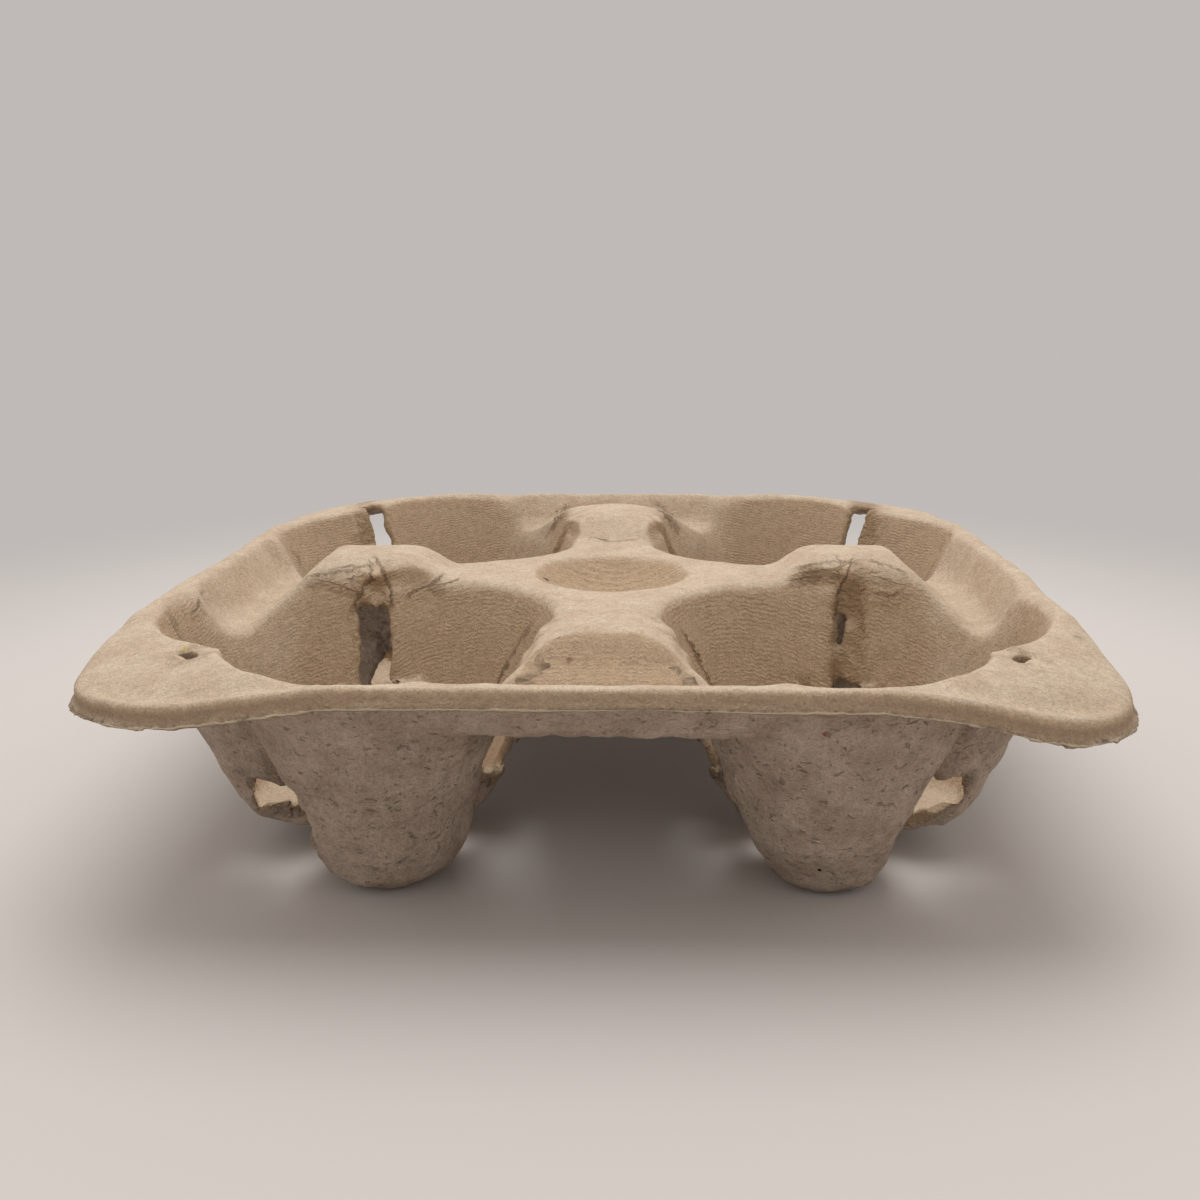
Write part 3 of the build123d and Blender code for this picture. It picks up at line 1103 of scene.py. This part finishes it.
    def roughen(self, points: Array, normals: Array, upper: Array) -> Array:
        """Raises pulp lumps: fine on the screen side, coarse and pitted on the underside."""
        under = 1 - upper
        height = under * heap(points, self.under_lumps) + upper * heap(points, self.upper_lumps)
        height += under * self.pit_depth * np.minimum(self.pits.at(points) + self.pit_level, 0.0)
        reach = np.hypot(points[:, 0], points[:, 1])
        dimple = upper * (1 - ease(reach, self.dimple_radius - 4, self.dimple_radius)) * (points[:, 2] > 40)
        sag = points[:, 1] - self.dimple_sag * points[:, 0] ** 2
        folds = np.sin(2 * pi * sag / self.dimple_ripple + self.folds.at(points))
        height += self.dimple_fold * dimple * folds
        return points + height[:, None] * normals

    def weave_places(self, points: Array) -> Array:
        """Unrolls each cone so that the screen ripples run round it; elsewhere they lie flat.

        Args:
            points: The sheet's points in millimetres.

        Returns:
            For each point, the way round and the way up in millimetres, and how strong the marks are.
        """
        places = np.zeros_like(points)
        places[:, :2] = points[:, :2]
        corner = np.sign(points[:, :2]) * self.pocket_offset
        flat = (points[:, :2] - corner) * np.sign(-points[:, :2])
        toward = flat.sum(axis=1) / np.sqrt(2)
        best, second = np.full((2, len(points)), self.far)
        slant = 1 / cos(atan(self.spread))
        lobes = ((self.hub_lobe_angle, self.hub_lobe_offset), (self.side_lobe_angle, self.lobe_offset),
                 (self.front_lobe_angle, self.lobe_offset))
        for number, (angle, offset) in enumerate(lobes):
            turn = radians(angle)
            arm = flat - offset * np.array((cos(turn), sin(turn)))
            radius = np.hypot(arm[:, 0], arm[:, 1])
            miss = np.abs(radius - self.foot_radius + self.half_wall - self.spread * points[:, 2])
            nearest = miss < best
            second = np.where(nearest, best, np.minimum(second, miss))
            best = np.where(nearest, miss, best)
            nearest &= miss < self.cone_near
            around = np.arctan2(arm[:, 1], arm[:, 0]) * self.ripple_round + self.ripple_shift * number
            places[nearest, 0] = around[nearest]
            places[nearest, 1] = points[nearest, 2] * slant - self.ripple_rise * toward[nearest]
        near = self.cone_near
        on_cone = (1 - ease(best, near - 1.4, near - 0.2)) * ease(second - best, 0.3, 1.6)
        places[:, 2] = np.where(best < near, on_cone, ease(best, near + 0.2, near + 1.8))
        return places

    def wall_shade_share(self, points: Array, normals: Array, upper: Array) -> Array:
        """Finds where the walls, the dimple and the front bump's slope take painted shade, less of it in the
        troughs, and where the screen ripples are strongest.

        Args:
            points: The sheet's points in millimetres.
            normals: Its point normals.
            upper: One for points on the upper side.

        Returns:
            Shares from zero to one.
        """
        x, y, z = points.T
        dimple = 1 - ease(np.hypot(x, y), self.dimple_radius - 1.5, self.dimple_radius)
        flat = np.abs(points[:, :2])
        trough = between(flat.max(axis=1), (76.0, 82.0), (102.0, 105.0))
        trough *= 1 - ease(flat.min(axis=1), 34.0, 42.0)
        # painted shade on steep walls, less in the troughs, and on the front bump's slope turned to the front
        steep = (1 - ease(normals[:, 2], 0.45, 0.8)) * (1 - self.trough_less_shade * trough)
        slope = ease(-normals[:, 1], 0.2, 0.32) * (1 - ease(np.abs(x), 17.0, 21.0))
        slope *= between(-y, (68.0, 72.0), (100.0, 104.0)) * ease(z, 43.0, 45.0)
        return upper * np.maximum(np.maximum(steep, slope), dimple)

    def keep_in_box(self, points: Array) -> Array:
        """Holds the points within the box of the solid that the sheet stands for."""
        low, high = (np.array(corner) / MM for corner in cad_box)
        return np.clip(points, low, high)

    def crack_places(self, tree: BVHTree, points: Array, normals: Array) -> tuple[Array, Array]:
        """Measures how far each point lies to the side of the cracks that the picture shows.

        Args:
            tree: The sheet's faces.
            points: Its points in millimetres.
            normals: Its point normals.

        Returns:
            For each layer of cracks, the distance to the side in millimetres, and how near the crack is
            from zero to one.
        """
        right, up, forward = (np.array(axis) for axis in self.camera.axes())
        sight = points - np.array(self.camera.place)
        scale = (sight @ forward) / self.camera.focal_pixels
        seen = np.column_stack((sight @ right / scale, -sight @ up / scale)) + self.camera.picture / 2
        facing = -(normals * sight).sum(axis=1) / np.linalg.norm(sight, axis=1)
        clear = ease(facing, 0.14, 0.28)
        nears = np.zeros((len(points), CRACK_LAYERS))
        sides, best = nears + self.crack_far, nears + self.crack_far
        for crack in self.cracks:
            middle = crack.course[len(crack.course) // 2]
            spot = np.array(tree.ray_cast(*self.camera.ray(middle))[0]) / MM
            close = (facing > 0) & (np.linalg.norm(points - spot, axis=1) < self.crack_reach)
            for start, end in zip(crack.course, crack.course[1:]):
                run = np.subtract(end, start)
                length = np.hypot(*run)
                arm = seen - start
                along = arm @ run / length
                aside = (arm[:, 1] * run[0] - arm[:, 0] * run[1]) / length * scale
                past = np.maximum(np.maximum(-along, along - length), 0.0) * scale
                away = np.hypot(aside, past)
                nearer = close & (away < best[:, crack.layer])
                best[nearer, crack.layer] = away[nearer]
                sides[nearer, crack.layer] = aside[nearer] / crack.width
                near = (1 - ease(np.abs(aside), 3.0, 5.0)) * (1 - ease(past, 0.3, 1.8))
                nears[nearer, crack.layer] = (near * clear)[nearer]
        return sides, nears

    def fleck_places(self, tree: BVHTree) -> list[tuple[Vector, Fleck]]:
        """Finds where the flecks that the picture shows lie on the sheet, in metres."""
        return [(tree.ray_cast(*self.camera.ray(fleck.pixel))[0], fleck) for fleck in self.flecks]

    def faces(self, sheet: Piece) -> BVHTree:
        """Sorts the sheet's faces so that rays can be tried on them."""
        return BVHTree.FromObject(sheet, bpy.context.evaluated_depsgraph_get())

    def store(self, sheet: Piece, name: str, values: Array) -> None:
        """Keeps a value or a place for each point as an attribute of the mesh."""
        kind, part = ("FLOAT_VECTOR", "vector") if values.ndim == 2 else ("FLOAT", "value")
        layer = sheet.data.attributes.new(name, kind, "POINT")
        layer.data.foreach_set(part, values.astype(np.float32).ravel())

    def model(self) -> Piece:
        """Models the sheet: fills its slots, tears and smooths it, and bends it as it dried."""
        sheet = self.copy_sheet()
        for pulp in self.fillings:
            self.fill_slot(sheet, pulp)
        self.remesh(sheet)
        self.move(sheet, self.set_feet(self.points(sheet)))
        self.cut_tears(sheet)
        self.remesh(sheet)
        self.apply(sheet, "SMOOTH", factor=0.5, iterations=self.edge_rounds)
        self.round_ridges(sheet)
        log.info("remeshed to %d faces", len(sheet.data.polygons))
        points, normals = self.points(sheet), self.normals(sheet)
        upper = self.upper_share(self.faces(sheet), points, normals)
        upper = np.maximum(upper, self.lip_face(points, normals)[0])
        points, _ = self.tear(self.roll_lip(points))
        self.move(sheet, points)
        points = self.roughen(points, self.normals(sheet), upper)
        self.move(sheet, self.keep_in_box(self.dry(points)))
        self.apply(sheet, "DECIMATE", ratio=self.triangles / (2 * len(sheet.data.polygons)))
        self.move(sheet, self.keep_in_box(self.points(sheet)))
        return sheet

    def dress(self, sheet: Piece) -> None:
        """Marks the sheet's sides, the walls that take painted shade, frays, lip and cracks for the finish,
        and gives it the finish.
        """
        points, normals, tree = self.points(sheet), self.normals(sheet), self.faces(sheet)
        lip, fall = self.lip_face(2 * points - self.dry(points), normals)
        upper = np.maximum(self.upper_share(tree, points, normals), lip)
        weave = self.weave_places(points)
        weave[:, 2] *= 1 - lip
        sides, nears = self.crack_places(tree, points, normals)
        for name, values in {
            # points not open to the sky take the underside's painted-shade colours
            "open_upper_side": upper,
            # painted shade on the walls, the dimple and the front slope; also how strong the ripples are
            "pressed": self.wall_shade_share(points, normals, upper),
            # torn edges, for their relief and their painted shade
            "frayed_and_shaded": self.tear(points)[1],
            "weave_place": weave,
            "lip_fall": lip * fall,
            "crack_side": sides,
            "crack_near": nears,
        }.items():
            self.store(sheet, name, values)
        bpy.ops.object.shade_smooth()
        sheet.data.materials.clear()
        sheet.data.materials.append(self.finish.material(self.fleck_places(tree)))

    def build(self) -> Piece:
        """Makes the dressed sheet that stands for the solid."""
        sheet = self.model()
        self.dress(sheet)
        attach(sheet, "root")
        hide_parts(self.node)
        return sheet


def main() -> None:
    """Builds the studio and the carrier in order and reports the carrier's faces."""
    logging.basicConfig(level=logging.INFO, format="%(message)s")
    bpy.context.scene.view_settings.view_transform = "Standard"
    PhotoCamera().build()
    studio = Studio()
    studio.build_floor()
    studio.build_lamp()
    studio.build_fill()
    sheet = Carrier().build()
    log.info("%s: %d faces", sheet.name, len(sheet.data.polygons))


if __name__ == "__main__":
    main()
